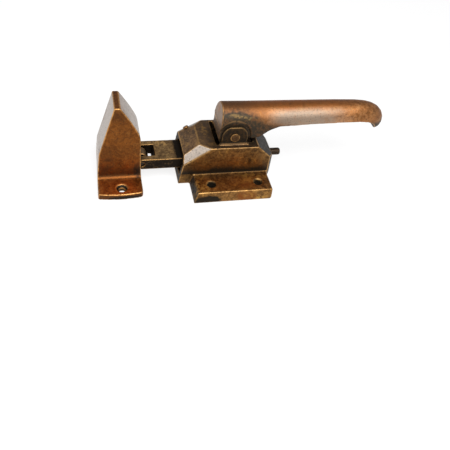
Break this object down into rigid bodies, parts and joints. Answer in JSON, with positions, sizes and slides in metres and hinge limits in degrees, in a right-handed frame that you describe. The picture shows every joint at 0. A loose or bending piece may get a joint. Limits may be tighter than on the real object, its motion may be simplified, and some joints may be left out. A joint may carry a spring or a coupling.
{
  "type": "slam latch with pull handle and strike",
  "caption": "Surface-mounted spring-bolt door latch with a long pull handle, a roller-nosed bolt and a wedge-shaped strike.",
  "frame": {"origin": "centre of the latch's four mounting holes, on the plane that lies against the door", "axes": "+Z out of the door; +X from the bolt end towards the free end of the handle; +Y across the latch, symmetric"},
  "size_m": [0.291, 0.1056, 0.0832],
  "materials": {
    "case_bronze": "old cast bronze, dark olive-brown patina",
    "handle_bronze": "hand-worn copper-brown bronze, satin",
    "pin_bronze": "dark bronze, peened ends",
    "screw_bronze": "worn bronze",
    "bolt_bronze": "drawn bronze bar, scuffed",
    "roller_bronze": "turned bronze",
    "rod_bronze": "turned bronze, dark",
    "pin_steel": "oiled steel",
    "spring_steel": "dark spring steel",
    "strap_steel": "dull strip steel",
    "strike_bronze": "old cast bronze, orange-brown patina"
  },
  "bodies": {
    "case": {"latch_case": "case_bronze", "pivot_pin": "pin_bronze", "oil_screw": "screw_bronze", "rod_bush": "rod_bronze", "keeper_strap": "strap_steel", "keeper_screws": "pin_steel"},
    "handle": {"pull_handle": "handle_bronze"},
    "bolt": {"bolt": "bolt_bronze", "roller_spacers": "roller_bronze", "roller_pin": "pin_steel", "tail_rod": "rod_bronze", "rod_cross_pin": "pin_steel", "spring_collar": "rod_bronze", "bolt_spring": "spring_steel"},
    "roller": {"nose_roller": "roller_bronze"},
    "strike": {"strike": "strike_bronze"}
  },
  "joints": [
    {"name": "handle_pull", "type": "hinge", "parent": "case", "child": "handle", "pos_m": [0, 0, 0.0496], "axis": [0, -1, 0], "range_deg": [0, 28]},
    {"name": "bolt_slide", "type": "slide", "parent": "case", "child": "bolt", "axis": [1, 0, 0], "range_m": [0, 0.0145], "stiffness_N_per_m": 900, "springref_m": -0.015, "deforming": ["bolt_spring"]},
    {"name": "roller_spin", "type": "hinge", "parent": "bolt", "child": "roller", "pos_m": [-0.0878, 0, 0.01925], "axis": [0, 1, 0], "continuous": true},
    {"name": "strike_offset", "type": "slide", "parent": "case", "child": "strike", "axis": [-1, 0, 0], "range_m": [0, 0.06]}
  ],
  "couplings": [
    {"joint": "bolt_slide", "follows": "handle_pull", "m_per_rad": 0.0295}
  ]
}
